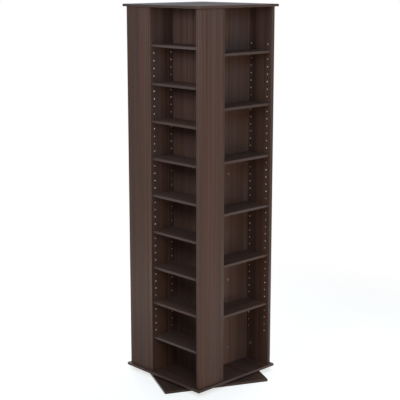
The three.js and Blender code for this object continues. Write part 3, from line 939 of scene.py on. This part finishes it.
# %% Round pieces
def ringed(radii, heights, angles, smooth=True):
    """Closed surface in (p, q, a): radius cos angle, radius sin angle, height. A pole closes each end."""
    rows, sides = radii.shape
    a = np.broadcast_to(np.asarray(heights[1:-1])[:, None], (rows, sides))
    rings = np.stack([radii * np.cos(angles), radii * np.sin(angles), a], axis=2).reshape(-1, 3)
    poles = np.array([[0.0, 0.0, heights[0]], [0.0, 0.0, heights[-1]]])
    j = np.arange(sides)
    k = (j + 1) % sides
    top = (rows - 1) * sides
    first = np.stack([k, j, np.full(sides, len(rings))], axis=1)
    last = np.stack([top + j, top + k, np.full(sides, len(rings) + 1)], axis=1)
    fans = np.concatenate([first, last])
    return np.concatenate([rings, poles]), [(grid_faces(rows, sides), 0, smooth), (fans, 0, smooth)]


def revolved(profile, sides):
    """Surface of revolution from a profile of (height, radius) that starts and ends on the axis."""
    heights, radii = np.array(profile).T
    return ringed(np.repeat(radii[1:-1, None], sides, axis=1), heights, even_angles(sides))


def joined(parts):
    """Several shapes as one. The faces of each count their points from where its own points start."""
    starts = np.cumsum([0] + [len(points) for points, _ in parts])
    blocks = [
        (faces + start, kind, smooth)
        for start, (_, part) in zip(starts, parts)
        for faces, kind, smooth in part
    ]
    return np.concatenate([points for points, _ in parts]), blocks


# These two turn (p, q, a) so that the axis a lies along X or along Y.
ALONG_X = np.array([[0.0, 1.0, 0.0], [0.0, 0.0, 1.0], [1.0, 0.0, 0.0]])
ALONG_Y = np.array([[0.0, 0.0, 1.0], [1.0, 0.0, 0.0], [0.0, 1.0, 0.0]])

# %% [markdown]
# Three screws pull each divider's inner end against its neighbour. All that shows of one is the low domed
# cap over its head, on the back board of the bay. The cap could be a lone disc, but a screw that goes on
# into the boards is right when they are taken apart, so cap, shank and point are one turned profile.

# %% Screws
SCREW_LEVELS = (-2.5, 7.5, 22.5)
SCREW_LENGTH = 48.0 * MM
SHANK_RADIUS = 2.5 * MM
CAP_RADIUS = 6.0 * MM
CAP_THICKNESS = 1.2 * MM
CAP_STEPS = 8
CAP_SIDES = 32


def screw_surface():
    """Dome with height -thickness cos squared and radius cap radius times sin, then shank and point."""
    swing = np.linspace(0.0, QUARTER_TURN, CAP_STEPS)
    dome = np.stack([-CAP_THICKNESS * np.cos(swing) ** 2, CAP_RADIUS * np.sin(swing)], axis=1).tolist()
    shoulder = SCREW_LENGTH - 2 * SHANK_RADIUS
    shank = [(0.0, SHANK_RADIUS), (shoulder, SHANK_RADIUS), (SCREW_LENGTH - HAIRLINE, 0.0)]
    return revolved(dome + shank, CAP_SIDES)


def make_screw(name, height, quarter):
    """One joint screw, with its cap on the back board and its point in the next divider's end."""
    points, blocks = screw_surface()
    place = np.array([HALF_BODY - BAY_DEPTH - BOARD / 2, BACK_WALL - HAIRLINE, height])
    points = turned(points @ ALONG_Y + place, quarter * QUARTER_TURN)
    make_piece(name + "_cap", points, blocks, (CAP_PLASTIC,), "tower", (name,))


# %% [markdown]
# Near the foot of each side panel a cam with a cross slot lies flush in its pocket, and grips a dowel that
# comes from the divider behind. The slot could be a darker paint, but real depth catches the light. So the
# cam's face is rings whose radius follows a cross, and the innermost ring is set down into the disc.

# %% Cams
DOWEL_RADIUS = 3.0 * MM
DOWEL_LENGTH = CAM_SETBACK + 8.8 * MM
DOWEL_SIDES = 24
CROSS_HALF_LENGTH = 4.5 * MM
CROSS_HALF_WIDTH = 0.9 * MM
CROSS_DEPTH = 1.7 * MM
CROSS_TAPER = 0.9
SMALLEST = 1e-6


def cam_surface():
    """Disc with a cross slot. The slot's radius is the larger of two rectangles' along each direction.

    A rectangle's radius is the smaller of half length over cosine and half width over sine. Angles that
    fall together are merged, and a sine or cosine of zero is lifted a hair so that it can divide.
    """
    corner = math.atan2(CROSS_HALF_WIDTH, CROSS_HALF_LENGTH)
    quarters = np.arange(4) * QUARTER_TURN
    corners = (quarters[:, None] + np.array([-corner, corner, QUARTER_TURN / 2])).ravel() % (2 * math.pi)
    angles = np.unique(np.concatenate([even_angles(CAM_SIDES), corners]).round(6))
    c, s = np.abs(np.cos(angles)).clip(SMALLEST), np.abs(np.sin(angles)).clip(SMALLEST)
    across = np.minimum(CROSS_HALF_LENGTH / c, CROSS_HALF_WIDTH / s)
    upright = np.minimum(CROSS_HALF_WIDTH / c, CROSS_HALF_LENGTH / s)
    cross = np.maximum(across, upright)
    rim = np.full(len(angles), CAM_RADIUS)
    radii = np.stack([cross * CROSS_TAPER, cross, rim - HOLE_CHAMFER, rim, rim])
    heights = [CROSS_DEPTH, CROSS_DEPTH, 0.0, 0.0, HOLE_CHAMFER, CAM_DEPTH, CAM_DEPTH]
    return ringed(radii, heights, angles, smooth=False)


def dowel_surface():
    """Steel dowel with a tapered end, along its own axis."""
    shoulder = DOWEL_LENGTH - DOWEL_RADIUS / 2
    profile = [(0.0, 0.0), (0.0, DOWEL_RADIUS), (shoulder, DOWEL_RADIUS), (DOWEL_LENGTH, 0.0)]
    return revolved(profile, DOWEL_SIDES)


def make_cam(name, quarter):
    """One cam, flush with the side panel's inner face, and the dowel that it grips."""
    disc, disc_blocks = cam_surface()
    dowel, dowel_blocks = dowel_surface()
    dowel = dowel @ ALONG_Y + np.array([BOARD / 2, 0.0, 0.0])
    points, blocks = joined([(disc @ ALONG_X, disc_blocks), (dowel, dowel_blocks)])
    place = np.array([RIGHT_WALL, BACK_WALL - CAM_SETBACK, level_height(CAM_LEVEL)])
    points = turned(points + place, quarter * QUARTER_TURN)
    make_piece(name + "_disc", points, blocks, (DIE_CAST,), "tower", (name,))


for quarter, (bay, _) in enumerate(BAYS):
    for number, level in enumerate(SCREW_LEVELS, 1):
        make_screw(f"joint_screw_{bay}_{number}", level_height(level), quarter)
    make_cam("cam_lock_" + bay, quarter)
print("screws:", len(SCREW_LEVELS) * len(BAYS), "cams:", len(BAYS))

# %% [markdown]
# The tower turns on a flat bearing between the base board and the bottom panel: two pressed plates, and
# between them a cage with sixteen balls. Only a glimpse of it shows in the gap of 7 mm. The frame's own
# plates are good enough there and get a plated finish. Its balls are faceted, so they and the cage are
# drawn again: spheres set round a circle, and a flat oval section carried round the same circle.

# %% Turntable bearing
BALL_LOW, BALL_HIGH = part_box("ball_ring")
BALL_RADIUS = (BALL_HIGH.z - BALL_LOW.z) / 2
BALL_MIDDLE = (BALL_HIGH.z + BALL_LOW.z) / 2
TRACK_RADIUS = BALL_HIGH.x - BALL_RADIUS
BALL_COUNT = 16
BALL_STEPS = 13
BALL_SIDES = 20
CAGE_HALF_WIDTH = 1.3 * MM
CAGE_HALF_HEIGHT = 0.5 * MM
CAGE_STEPS = 96
CAGE_SIDES = 12


def ball_ring_surface():
    """Spheres round the track. The cage is an oval of half width times cos, half height times sin."""
    swing = np.linspace(-QUARTER_TURN, QUARTER_TURN, BALL_STEPS)
    profile = np.stack([BALL_RADIUS * np.sin(swing), BALL_RADIUS * np.cos(swing)], axis=1)
    ball, ball_blocks = revolved(profile, BALL_SIDES)
    around = even_angles(BALL_COUNT)
    places = TRACK_RADIUS * np.stack([np.cos(around), np.sin(around), np.zeros(BALL_COUNT)], axis=1)
    balls = [(ball + place, ball_blocks) for place in places]
    turn, section = np.meshgrid(even_angles(CAGE_STEPS), even_angles(CAGE_SIDES), indexing="ij")
    reach = TRACK_RADIUS + CAGE_HALF_WIDTH * np.cos(section)
    z = CAGE_HALF_HEIGHT * np.sin(section)
    cage = np.stack([reach * np.cos(turn), reach * np.sin(turn), z], axis=2).reshape(-1, 3)
    cage_faces = grid_faces(CAGE_STEPS + 1, CAGE_SIDES) % len(cage)
    return joined(balls + [(cage, [(cage_faces[:, ::-1], 0, True)])])


ring_points, ring_blocks = ball_ring_surface()
ring_points = ring_points + np.array([0.0, 0.0, BALL_MIDDLE])
ring_name = "bearing_balls_and_cage"
make_piece(ring_name, ring_points, ring_blocks, (ZINC_STEEL,), "ball_ring", ("ball_ring",))
for plate_name in ("bearing_lower_plate", "bearing_upper_plate"):
    for material_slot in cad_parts[plate_name].material_slots:
        material_slot.material = ZINC_STEEL
print("balls:", BALL_COUNT, "of radius", round(BALL_RADIUS, 5))
